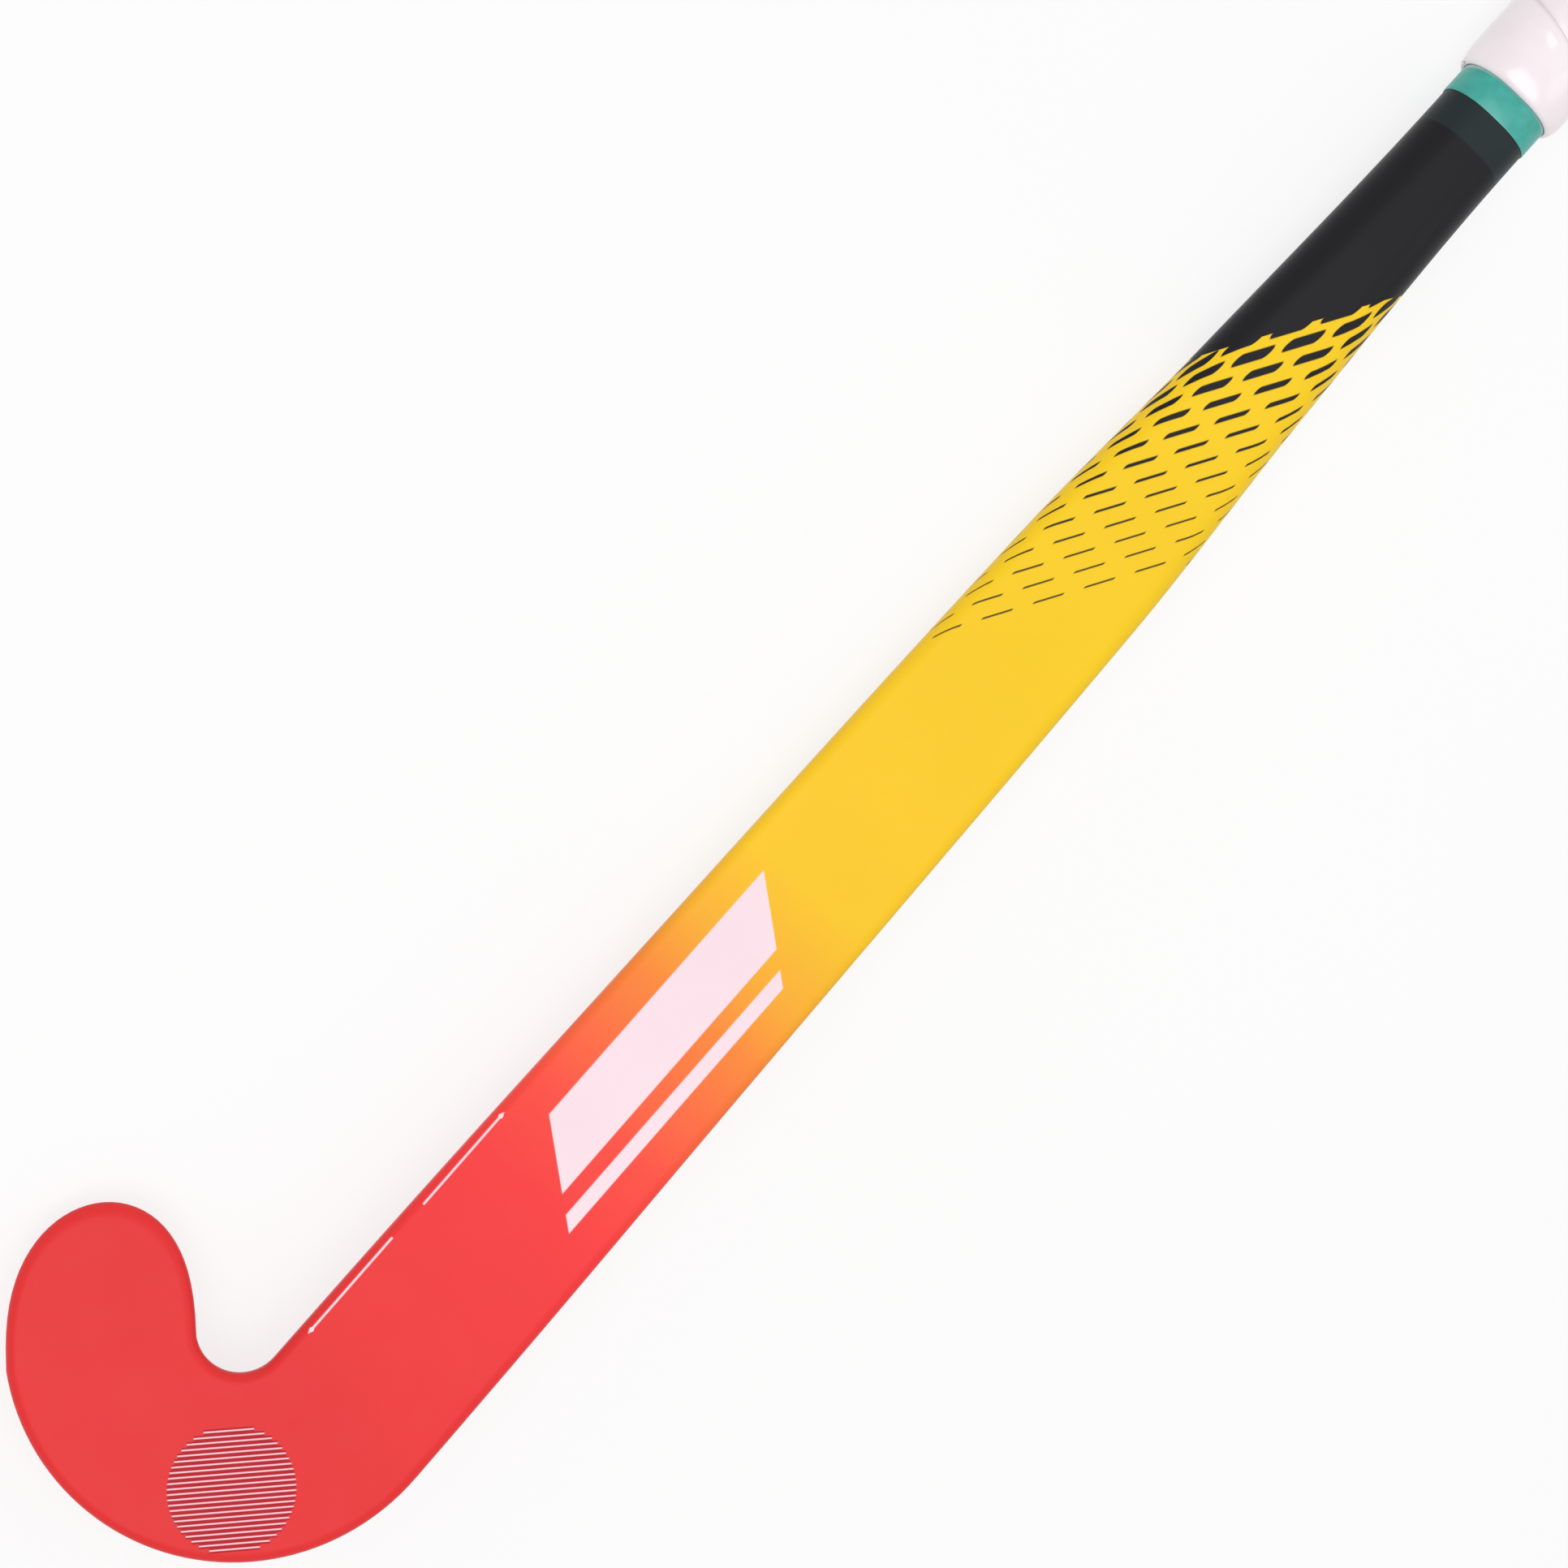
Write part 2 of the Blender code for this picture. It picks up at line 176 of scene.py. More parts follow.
def half_profile(station, inset):
    """(side, height) points of half a section, from the middle of the face to that of the back."""
    half = station.width / 2 - inset
    rim = max(station.rim - inset, THIN_RIM)
    back = station.thickness - 2 * inset - rim
    points = [(0.0, -inset)]
    points += [((half - rim) * share, -inset) for share in FLAT_SHARES]
    for k in range(RIM_STEPS + 1):
        angle = math.pi / 2 * (1 - k / RIM_STEPS)
        points.append((half - rim + rim * math.cos(angle), -inset - rim + rim * math.sin(angle)))
    for k in range(1, BACK_STEPS):
        angle = math.pi / 2 * k / BACK_STEPS
        side = half * math.cos(angle) ** (2 / BACK_FULLNESS)
        points.append((side, -inset - rim - back * math.sin(angle) ** (2 / BACK_FULLNESS)))
    points.append((0.0, -inset - rim - back))
    return points


def whole_profile(station, inset=0.0):
    """(side, height) points all round a section."""
    half = half_profile(station, inset)
    return half + [(-side, height) for side, height in reversed(half[1:-1])]


# The stick's own frame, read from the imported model

BUTT_STRETCH = LENGTH / 10


def stick_matrix():
    """Matrix from the stick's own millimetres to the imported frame's metres."""
    face = next(m for m in frame["record"]["mounts"] if m["name"] == "playing_face")
    out = Vector(face["axis"])
    turn = Euler((math.asin(-out.y), math.atan2(out.x, out.z), 0.0)).to_matrix()
    shell = np.array([v.co for v in frame["nodes"]["outer_shell"].data.vertices]) @ np.array(turn)
    butt = shell[shell[:, 0] > shell[:, 0].max() - BUTT_STRETCH * MM]
    middle = (butt[:, 1].min() + butt[:, 1].max()) / 2
    top = (turn.transposed() @ Vector(face["pos_m"])).z
    origin = turn @ Vector((shell[:, 0].min(), middle, top))
    return Matrix.Translation(origin) @ turn.to_4x4() @ Matrix.Scale(MM, 4)


STICK = stick_matrix()


class Skin:
    """Vertices and faces of one dressed piece."""

    def __init__(self):
        self.verts = []
        self.faces = []
        self.marks = []

    def ring(self, points):
        """Add points and return their numbers."""
        start = len(self.verts)
        self.verts += points
        return list(range(start, len(self.verts)))

    def loft(self, rings):
        """Join each ring to the next."""
        for first, second in zip(rings, rings[1:]):
            for i in range(len(first)):
                j = (i + 1) % len(first)
                self.faces.append((first[i], first[j], second[j], second[i]))

    def cap(self, ring):
        """Close a ring with one face."""
        self.faces.append(tuple(ring))

    def piece(self, name, material, nodes):
        """Make the object, riding on the stick and standing for the CAD nodes named."""
        mesh = bpy.data.meshes.new(name)
        mesh.from_pydata([STICK @ v for v in self.verts], [], self.faces)
        mesh.shade_smooth()
        places = mesh.attributes.new("stick_mm", "FLOAT_VECTOR", "POINT")
        places.data.foreach_set("vector", np.array([tuple(v) for v in self.verts], np.float32).ravel())
        if self.marks:
            marks = mesh.attributes.new("strip_mm", "FLOAT", "POINT")
            marks.data.foreach_set("value", np.array(self.marks, np.float32))
        mesh.materials.append(material)
        obj = bpy.data.objects.new(name, mesh)
        bpy.context.scene.collection.objects.link(obj)
        orient(obj)
        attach(obj, "root")
        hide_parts(*nodes)


def orient(obj):
    """Point all faces outwards."""
    work = bmesh.new()
    work.from_mesh(obj.data)
    bmesh.ops.recalc_face_normals(work, faces=work.faces)
    work.to_mesh(obj.data)
    work.free()


# Node helpers: a noise pattern is (scale, detail) and a bump is (distance in metres, strength)

NOISE_RANGE = (0.2, 0.8)
MIX_COLOUR_A = 6
MIX_COLOUR_B = 7
MIX_COLOUR = 2


class Graph:
    """Small wrapper that builds shader node trees from expressions."""

    def __init__(self, name):
        self.material = bpy.data.materials.new(name)
        self.material.use_nodes = True
        self.tree = self.material.node_tree
        self.shader = self.tree.nodes["Principled BSDF"]

    def node(self, kind, **settings):
        """New node with these settings."""
        made = self.tree.nodes.new(kind)
        for key, value in settings.items():
            setattr(made, key, value)
        return made

    def put(self, socket, value):
        """Link the value to a socket, or set it there if it is a plain one."""
        if isinstance(value, bpy.types.NodeSocket):
            self.tree.links.new(value, socket)
        else:
            socket.default_value = value

    def math(self, operation, a, b=0.0):
        """Result of an operation on one or two values."""
        made = self.node("ShaderNodeMath", operation=operation)
        self.put(made.inputs[0], a)
        self.put(made.inputs[1], b)
        return made.outputs[0]

    def span(self, value, low, high, new_low=0.0, new_high=1.0):
        """Value taken from low to high into new_low to new_high, and held at the ends."""
        made = self.node("ShaderNodeMapRange")
        for socket, v in zip(made.inputs[:5], (value, low, high, new_low, new_high)):
            self.put(socket, v)
        return made.outputs[0]

    def above(self, value, edge, soft):
        """1 above the edge and 0 below it, over a step as wide as soft."""
        return self.span(value, edge - soft / 2, edge + soft / 2)

    def below(self, value, edge, soft):
        """1 below the edge and 0 above it, over a step as wide as soft."""
        return self.span(value, edge - soft / 2, edge + soft / 2, 1.0, 0.0)

    def between(self, value, low, high, soft):
        """1 between low and high and 0 outside, over steps as wide as soft."""
        return self.math("MULTIPLY", self.above(value, low, soft), self.below(value, high, soft))

    def mix(self, factor, a, b):
        """Colour a where the factor is 0 and b where it is 1."""
        made = self.node("ShaderNodeMix", data_type="RGBA")
        self.put(made.inputs[0], factor)
        self.put(made.inputs[MIX_COLOUR_A], a)
        self.put(made.inputs[MIX_COLOUR_B], b)
        return made.outputs[MIX_COLOUR]

    def noise(self, vector, scale, detail):
        """Cloudy value from 0 to 1."""
        made = self.node("ShaderNodeTexNoise")
        self.put(made.inputs["Vector"], vector)
        self.put(made.inputs["Scale"], scale)
        self.put(made.inputs["Detail"], detail)
        return made.outputs[0]

    def drift(self, vector, pattern, limits):
        """Value that wanders between the limits as the noise pattern does."""
        return self.span(self.noise(vector, *pattern), *NOISE_RANGE, *limits)

    def ramp(self, factor, stops):
        """Colour that the factor picks from (place, colour) stops."""
        made = self.node("ShaderNodeValToRGB")
        points = made.color_ramp.elements
        while len(points) < len(stops):
            points.new(0.5)
        for point, (place, colour) in zip(points, stops):
            point.position = place
            point.color = colour
        self.put(made.inputs[0], factor)
        return made.outputs[0]

    def bump(self, height, distance, strength):
        """Normal of a surface with this relief."""
        made = self.node("ShaderNodeBump")
        self.put(made.inputs["Height"], height)
        self.put(made.inputs["Strength"], strength)
        self.put(made.inputs["Distance"], distance)
        return made.outputs[0]

    def place(self):
        """Place of the surface point in the stick's own millimetres."""
        return self.node("ShaderNodeAttribute", attribute_name="stick_mm").outputs["Vector"]

    def split(self, vector):
        """The x, y and z of a vector."""
        made = self.node("ShaderNodeSeparateXYZ")
        self.put(made.inputs[0], vector)
        return made.outputs[:]

    def outward(self):
        """How far the surface looks out of the playing face: 1 on it, 0 on the sides, -1 on the back."""
        normal = self.node("ShaderNodeNewGeometry").outputs["Normal"]
        dot = self.node("ShaderNodeVectorMath", operation="DOT_PRODUCT")
        self.put(dot.inputs[0], normal)
        self.put(dot.inputs[1], (STICK.to_3x3() @ Vector((0.0, 0.0, 1.0))).normalized())
        return dot.outputs["Value"]

    def set(self, **sockets):
        """Fill the shader's sockets and return the material."""
        for name, value in sockets.items():
            self.put(self.shader.inputs[name.replace("_", " ")], value)
        return self.material


# Printed body: fade, disc, bands and edge line on the face, dashes that merge into black above

PRINT_WHITE = srgb(254, 228, 236)
BLACK = srgb(24, 22, 26)
DARK_BAND = srgb(34, 43, 45)
DISC_RED = srgb(184, 20, 37)
DISC_PINK = srgb(255, 205, 213)
FADE = ((60, (233, 53, 55)), (140, (249, 61, 63)), (165, (253, 80, 66)), (185, (254, 111, 62)),
        (205, (253, 139, 56)), (225, (254, 179, 49)), (250, (254, 203, 40)), (360, (253, 209, 36)))
FADE_FROM = FADE[0][0]
FADE_TO = FADE[-1][0]
DISC_AT = (28.8, 10.7)
DISC_RADIUS = 17.0
STRIPE_PITCH = 1.423
STRIPE_SHARE = 0.29
STRIPE_SOFT = 0.15
STRIPE_TURN = math.radians(-45.3)
SOFT = 0.35
LINE_HALF_WIDTH = 0.28
LINE_INSET = 2.1
LINE_RUNS = ((74.0, 106.0), (118.5, 149.5))
LINE_END = (1.4, 0.65)
BAND_SLANT = 0.8
BANDS = ((-4.0, 13.0), (-12.5, -8.5))
BANDS_FROM = 148.0
BANDS_TO = 236.0
DASH_SLANT = 1.66
DASHES_FROM = 356.6
DASHES_TO = 462.0
DASH_ROW = 9.2
DASH_PITCH = 15.0
DASH_LENGTH = 8.5
DASH_STAGGER = 0.37
DASH_THIN = 0.24
DASH_THICK = 1.7
FACE_FROM = (0.25, 0.35)
DASHES_FADE = (-0.5, 0.1)
DARK_FROM = 527.5
PRINT_CLOUD = (0.02, 4.0)
PRINT_SHADES = (0.965, 1.035)
PRINT_PATCHES = (0.08, 5.0)
PRINT_ROUGHNESS = (0.36, 0.46)
PRINT_SPECULAR = 0.15
PEEL = (0.55, 2.0)
PEEL_BUMP = (0.00002, 0.5)


def reach(g, a, b):
    """Length of the vector (a, b)."""
    return g.math("SQRT", g.math("ADD", g.math("MULTIPLY", a, a), g.math("MULTIPLY", b, b)))


def stripes_disc(g, x, y):
    """Masks of the whole disc and of the pale stripes in it, which end square."""
    dx = g.math("SUBTRACT", x, DISC_AT[0])
    dy = g.math("SUBTRACT", y, DISC_AT[1])
    across = g.math("SUBTRACT", g.math("MULTIPLY", dy, math.cos(STRIPE_TURN)),
                    g.math("MULTIPLY", dx, math.sin(STRIPE_TURN)))
    along = g.math("ADD", g.math("MULTIPLY", dx, math.cos(STRIPE_TURN)),
                   g.math("MULTIPLY", dy, math.sin(STRIPE_TURN)))
    row = g.math("FLOOR", g.math("ADD", g.math("DIVIDE", across, STRIPE_PITCH), 0.5))
    middle = g.math("MULTIPLY", row, STRIPE_PITCH)
    room = g.math("SUBTRACT", DISC_RADIUS ** 2, g.math("MULTIPLY", middle, middle))
    end = g.math("SQRT", g.math("MAXIMUM", room, 0.0))
    past = g.math("SUBTRACT", g.math("ABSOLUTE", along), end)
    disc = g.math("MULTIPLY", g.below(past, 0.0, SOFT), g.math("GREATER_THAN", room, 0.0))
    off = g.math("ABSOLUTE", g.math("SUBTRACT", across, middle))
    stripes = g.below(off, STRIPE_PITCH * STRIPE_SHARE / 2, STRIPE_SOFT)
    return disc, g.math("MULTIPLY", disc, stripes)


def slanted_bands(g, x, y):
    """Mask of a broad and a narrow band along the shaft, with slanted ends."""
    level = g.math("SUBTRACT", x, g.math("MULTIPLY", y, BAND_SLANT))
    total = 0.0
    for low, high in BANDS:
        total = g.math("ADD", total, g.between(y, low, high, SOFT))
    return g.math("MULTIPLY", total, g.between(level, BANDS_FROM, BANDS_TO, SOFT))


def edge_line(g, x, y):
    """Mask of a thin broken line along the toe-side edge of the lower shaft, pointed at its two ends."""
    total = 0.0
    ends = (LINE_RUNS[0][0], LINE_RUNS[-1][1])
    for low, high in LINE_RUNS:
        edge = smooth_value(WIDTHS, (low + high) / 2) / 2 - LINE_INSET
        aside = g.math("SUBTRACT", y, edge)
        beyond = g.math("MAXIMUM", g.math("SUBTRACT", low, x), g.math("SUBTRACT", x, high))
        beyond = g.math("MAXIMUM", beyond, 0.0)
        run = g.below(reach(g, aside, beyond), LINE_HALF_WIDTH, SOFT)
        total = g.math("MAXIMUM", total, run)
        for end in (low, high):
            if end in ends:
                far = g.math("DIVIDE", g.math("ABSOLUTE", g.math("SUBTRACT", x, end)), LINE_END[0])
                far = g.math("ADD", far, g.math("DIVIDE", g.math("ABSOLUTE", aside), LINE_END[1]))
                total = g.math("MAXIMUM", total, g.below(far, 1.0, SOFT))
    return total


def unrolled(g, x, y, z):
    """y that runs on down the sides of the shaft."""
    bent = g.math("SUBTRACT", x, BOW_FROM)
    face_z = g.math("MULTIPLY", g.math("MULTIPLY", bent, bent), BOW / 2 / (HANDLE_AT - BOW_FROM))
    depth = g.math("MAXIMUM", g.math("SUBTRACT", face_z, z), 0.0)
    return g.math("ADD", y, g.math("MULTIPLY", g.math("SIGN", y), depth))


def dash_fade(g, x, y, z, outward):
    """Mask of staggered rows of dashes that get thicker up the shaft and thin out to the back, and of
    all that is above them."""
    tilt = math.hypot(1.0, DASH_SLANT)
    level = g.math("ADD", x, g.math("MULTIPLY", y, DASH_SLANT))
    round_y = unrolled(g, x, y, z)
    round_level = g.math("ADD", x, g.math("MULTIPLY", round_y, DASH_SLANT))
    row = g.math("DIVIDE", g.math("SUBTRACT", round_level, DASHES_FROM), DASH_ROW)
    number = g.math("FLOOR", row)
    off_row = g.math("MULTIPLY", g.math("SUBTRACT", g.math("FRACT", row), 0.5), DASH_ROW / tilt)
    along = g.math("ADD", g.math("MULTIPLY", round_y, tilt / DASH_PITCH),
                   g.math("MULTIPLY", number, DASH_STAGGER))
    off_middle = g.math("ABSOLUTE", g.math("SUBTRACT", g.math("FRACT", along), 0.5))
    off_dash = g.math("SUBTRACT", g.math("MULTIPLY", off_middle, DASH_PITCH), DASH_LENGTH / 2)
    off_dash = g.math("MAXIMUM", off_dash, 0.0)
    growth = g.span(level, DASHES_FROM, DASHES_TO)
    growth = g.math("MULTIPLY", growth, g.math("MULTIPLY", growth, growth))
    radius = g.span(growth, 0.0, 1.0, DASH_THIN, DASH_THICK)
    fade = g.span(outward, *DASHES_FADE)
    radius = g.math("MULTIPLY", g.math("ADD", radius, SOFT), fade)
    gap = g.math("SUBTRACT", g.math("SUBTRACT", radius, SOFT), reach(g, off_row, off_dash))
    dashes = g.math("MULTIPLY", g.above(gap, 0.0, SOFT), g.math("GREATER_THAN", level, DASHES_FROM))
    return g.math("MAXIMUM", dashes, g.above(level, DASHES_TO, SOFT))


def printed_shell():
    """Print with a satin finish and a slight orange peel."""
    g = Graph("printed_shell")
    place = g.place()
    x, y, z = g.split(place)
    outward = g.outward()
    face = g.span(outward, *FACE_FROM)
    length = FADE_TO - FADE_FROM
    stops = [((at - FADE_FROM) / length, srgb(*colour)) for at, colour in FADE]
    colour = g.ramp(g.span(x, FADE_FROM, FADE_TO), stops)
    disc, stripes = stripes_disc(g, x, y)
    colour = g.mix(g.math("MULTIPLY", disc, face), colour, DISC_RED)
    colour = g.mix(g.math("MULTIPLY", stripes, face), colour, DISC_PINK)
    white = g.math("MAXIMUM", slanted_bands(g, x, y), edge_line(g, x, y))
    colour = g.mix(g.math("MULTIPLY", white, face), colour, PRINT_WHITE)
    colour = g.mix(dash_fade(g, x, y, z, outward), colour, BLACK)
    colour = g.mix(g.above(x, DARK_FROM, 2 * SOFT), colour, DARK_BAND)
    tone = g.node("ShaderNodeHueSaturation")
    g.put(tone.inputs["Value"], g.drift(place, PRINT_CLOUD, PRINT_SHADES))
    g.put(tone.inputs["Color"], colour)
    rough = g.drift(place, PRINT_PATCHES, PRINT_ROUGHNESS)
    peel = g.bump(g.noise(place, *PEEL), *PEEL_BUMP)
    return g.set(Base_Color=tone.outputs[0], Roughness=rough, Normal=peel,
                 Specular_IOR_Level=PRINT_SPECULAR)


def toe_to_butt(skin, inset):
    """Surface from the closed toe to the open butt, at an inset from the outside; returns its last ring."""
    hook = [hook_station(HOOK_SWEEP * (1 - k / HOOK_STEPS)) for k in range(HOOK_STEPS)]
    count = math.ceil((SHELL_END - HOOK_X) / SHAFT_STEP)
    shaft = [shaft_station(HOOK_X + (SHELL_END - HOOK_X) * k / count) for k in range(count + 1)]
    stations = hook + shaft
    rings = [skin.ring([s.place(*p) for p in whole_profile(s, inset)]) for s in stations]
    half = half_profile(hook[0], inset)
    stretch = (TOE_LENGTH - inset) / (HEAD_WIDTH / 2 - inset)
    last = len(half) - 1
    # The toe is a fan of half sections, turned from one side of the first section to the other
    fan = [rings[0][:last + 1]]
    for k in range(1, TOE_STEPS):
        angle = math.pi * k / TOE_STEPS
        ahead = stretch * math.sin(angle) ** (2 / TOE_FULLNESS)
        aside = math.cos(angle) + TOE_LEAN * ahead
        points = [hook[0].place(side * aside, height, -side * ahead) for side, height in half[1:-1]]
        fan.append([rings[0][0]] + skin.ring(points) + [rings[0][last]])
    fan.append([rings[0][0]] + rings[0][:last:-1] + [rings[0][last]])
    for first, second in zip(fan, fan[1:]):
        for i in range(last):
            corners = (first[i], second[i], second[i + 1], first[i + 1])
            skin.faces.append(tuple(dict.fromkeys(corners)))
    skin.loft(rings)
    return rings[-1]


def stick_body():
    """Hollow printed body, closed at the toe and open at the butt."""
    skin = Skin()
    outside = toe_to_butt(skin, 0.0)
    inside = toe_to_butt(skin, WALL)
    skin.loft([outside, inside])
    skin.piece("stick_body", printed_shell(), ["outer_shell"])


# Handle pieces

def handle_ring(count):
    """Evenly spaced (side, height) points round the handle and their outward directions."""
    profile = whole_profile(shaft_station(GRIP_START))
    closed = np.array(profile + [profile[0]])
    lengths = np.concatenate(([0.0], np.cumsum(np.hypot(*np.diff(closed, axis=0).T))))
    wanted = np.arange(count) * lengths[-1] / count
    ring = np.stack([np.interp(wanted, lengths, closed[:, i]) for i in range(2)], axis=1)
    ahead = np.roll(ring, -1, axis=0) - np.roll(ring, 1, axis=0)
    out = np.stack([-ahead[:, 1], ahead[:, 0]], axis=1)
    out /= np.linalg.norm(out, axis=1, keepdims=True)
    inward = (out * (ring - ring.mean(axis=0))).sum(axis=1) < 0
    out[inward] *= -1
    return ring, out


RING, RING_OUT = handle_ring(TURN_STEPS)


def on_handle(x, i, height):
    """Point at x along the stick, at place i of the handle's ring, raised by height."""
    side, up = (RING[i] + RING_OUT[i] * height).tolist()
    return shaft_station(x).place(side, up)


# Wound strip: heights off the handle and places across the strip, in millimetres
STRIP_UNDER = 1.22
STRIP_THICKNESS = 1.43
STRIP_OVERLAP = 4.5
STRIP_WIDTH = TAPE_PITCH + STRIP_OVERLAP
STRIP_THIN = 0.25
STRIP_LIP = 0.5
STRIP_CROWN = 0.3
SEAM_WIDTH = 1.3
STRIP_END = 0.05
STRIP_START = TURN_STEPS // 4
LAP_GAP = 0.03
LAP_RISE = 1.0
LAP_LEAD = 1.5
SHOULDER = 6.0
SHOULDER_LEAST = 0.34
STRIP_SHARES = (0.0, 0.03, 0.07, 0.13, 0.2, 0.35, 0.5, 0.65, 0.78, 0.84, 0.89, 0.93, 0.965, 0.985, 1.0)


def strip_heights(s):
    """Under and upper side of the strip at s across it; its far edge lies on the next turn."""
    lap = min(max((s - TAPE_PITCH) / STRIP_OVERLAP, 0.0), 1.0)
    skive = min(s / STRIP_OVERLAP, 1.0)
    top_below = STRIP_THIN + (STRIP_THICKNESS - STRIP_THIN) * lap
    rise = min(max((s - TAPE_PITCH) / LAP_RISE + LAP_LEAD, 0.0), 1.0)
    under = (top_below + LAP_GAP) * rise
    upper = STRIP_THIN + (STRIP_THICKNESS - STRIP_THIN) * skive
    if lap > 0:
        upper = under + STRIP_LIP + (STRIP_THICKNESS - STRIP_LIP) * (1.0 - lap)
    bare = min(max((s - STRIP_OVERLAP) / TAPE_PITCH, 0.0), 1.0)
    return under, upper + STRIP_CROWN * math.sin(math.pi * bare)


GRIP_SHADES = ((0.25, srgb(248, 236, 240)), (0.75, srgb(254, 245, 248)))
# Greyer tint for the worn far edge of the strip, also used as painted shade just past each lap
GRIP_SEAM_WEAR_AND_SHADE = srgb(236, 222, 227)
GRIP_CLOUD = (0.05, 4.0)
GRIP_WRINKLES = (0.09, 3.0)
GRIP_PORES = (2.2, 2.0)
PORE_SHARE = 0.06
GRIP_BUMP = (0.0008, 0.5)
GRIP_PATCHES = (0.12, 4.0)
GRIP_ROUGHNESS = (0.26, 0.4)
GRIP_COAT = 0.6
GRIP_COAT_ROUGHNESS = 0.1


def grip_material():
    """Soft pale strip with pores, wrinkles, greyer worn strip edges and painted shade just past each lap.
    """
    g = Graph("grip_strip")
    place = g.place()
    colour = g.ramp(g.noise(place, *GRIP_CLOUD), GRIP_SHADES)
    mark = g.node("ShaderNodeAttribute", attribute_name="strip_mm").outputs["Fac"]
    # edge: greyer worn far edge of the strip; foot: painted shade on the strip just past the lip of the
    # turn before
    edge = g.span(mark, STRIP_WIDTH - SEAM_WIDTH, STRIP_WIDTH)
    foot = g.span(mark, STRIP_OVERLAP, STRIP_OVERLAP + SEAM_WIDTH, 1.0, 0.0)
    colour = g.mix(g.math("MAXIMUM", edge, foot), colour, GRIP_SEAM_WEAR_AND_SHADE)
    pores = g.math("MULTIPLY", g.noise(place, *GRIP_PORES), PORE_SHARE)
    height = g.math("ADD", g.noise(place, *GRIP_WRINKLES), pores)
    rough = g.drift(place, GRIP_PATCHES, GRIP_ROUGHNESS)
    return g.set(Base_Color=colour, Roughness=rough, Normal=g.bump(height, *GRIP_BUMP),
                 Coat_Weight=GRIP_COAT, Coat_Roughness=GRIP_COAT_ROUGHNESS)


def wound_grip():
    """One strip that swells from the collar and overlaps its own turns up to the butt."""
    skin = Skin()
    rings = []
    steps = math.floor((GRIP_END - GRIP_START + STRIP_WIDTH - 2 * STRIP_END) / TAPE_PITCH * TURN_STEPS)
    for k in range(steps + 1):
        foot = GRIP_START + STRIP_END - STRIP_WIDTH + TAPE_PITCH * k / TURN_STEPS
        place = (k + STRIP_START) % TURN_STEPS
        low = max(0.0, GRIP_START - foot)
        high = min(STRIP_WIDTH, GRIP_END - foot)
        under = []
        upper = []
        across = [low + (high - low) * share for share in STRIP_SHARES]
        for s in across:
            x = foot + s
            bottom, top = strip_heights(s)
            climb = min((x - GRIP_START) / SHOULDER, 1.0)
            swell = SHOULDER_LEAST + (1 - SHOULDER_LEAST) * math.sqrt(max(1 - (1 - climb) ** 2, 0.0))
            under.append(on_handle(x, place, (STRIP_UNDER + bottom) * swell))
            upper.append(on_handle(x, place, (STRIP_UNDER + top) * swell))
        rings.append(skin.ring(upper + under[::-1]))
        skin.marks += across + across[::-1]
    skin.loft(rings)
    skin.cap(rings[0])
    skin.cap(rings[-1])
    skin.piece("wound_grip", grip_material(), ["grip_tape"])


def handle_loft(name, steps, material, nodes, is_band):
    """Piece made of rings round the handle, given as (place, height) steps: an open band, or capped."""
    skin = Skin()
    rings = [skin.ring([on_handle(x, i, height) for i in range(TURN_STEPS)]) for x, height in steps]
    skin.loft(rings)
    if is_band:
        skin.loft([rings[-1], rings[0]])
    else:
        skin.cap(rings[0])
        skin.cap(rings[-1])
    skin.piece(name, material, nodes)


# Collar: a step of its edge is (way in from the edge, height off the handle), a painted edge highlight
# (width, colour)
COLLAR_FROM = GRIP_START - CLEARANCE - COLLAR_WIDTH
COLLAR_TO = GRIP_START + CLEARANCE
COLLAR_EDGE = ((0.0, 0.1), (0.1, 0.22), (0.4, 0.32))
COLLAR_SHADES = ((0.3, srgb(52, 160, 148)), (0.7, srgb(62, 175, 163)))
# Painted highlights: pale lines along the collar's lower and upper edges
COLLAR_LOWER_HIGHLIGHT = (0.45, srgb(112, 192, 182))
COLLAR_UPPER_HIGHLIGHT = (0.8, srgb(186, 208, 204))
COLLAR_CLOUD = (0.3, 4.0)
COLLAR_BUMP = (0.00005, 0.4)
COLLAR_PATCHES = (1.2, 3.0)
COLLAR_ROUGHNESS = (0.3, 0.42)


def collar_material():
    """Smooth tape with painted highlights along both edges."""
    g = Graph("collar_tape")
    place = g.place()
    x = g.split(place)[0]
    cloud = g.noise(place, *COLLAR_CLOUD)
    colour = g.ramp(cloud, COLLAR_SHADES)
    # Painted highlight: a pale teal line along the lower edge
    width, tone = COLLAR_LOWER_HIGHLIGHT
    colour = g.mix(g.span(x, COLLAR_FROM + width, COLLAR_FROM), colour, tone)
    # Painted highlight: a pale grey line along the upper edge
    width, tone = COLLAR_UPPER_HIGHLIGHT
    colour = g.mix(g.span(x, COLLAR_TO - width, COLLAR_TO), colour, tone)
    rough = g.drift(place, COLLAR_PATCHES, COLLAR_ROUGHNESS)
    return g.set(Base_Color=colour, Roughness=rough, Normal=g.bump(cloud, *COLLAR_BUMP))


def collar():
    """Band round the handle whose upper edge goes under the lip of the grip."""
    lower = [(COLLAR_FROM + ahead, height) for ahead, height in COLLAR_EDGE]
    upper = [(COLLAR_TO - ahead, height) for ahead, height in reversed(COLLAR_EDGE)]
    steps = lower + upper
    handle_loft("finishing_collar", steps, collar_material(), ["grip_collar"], True)


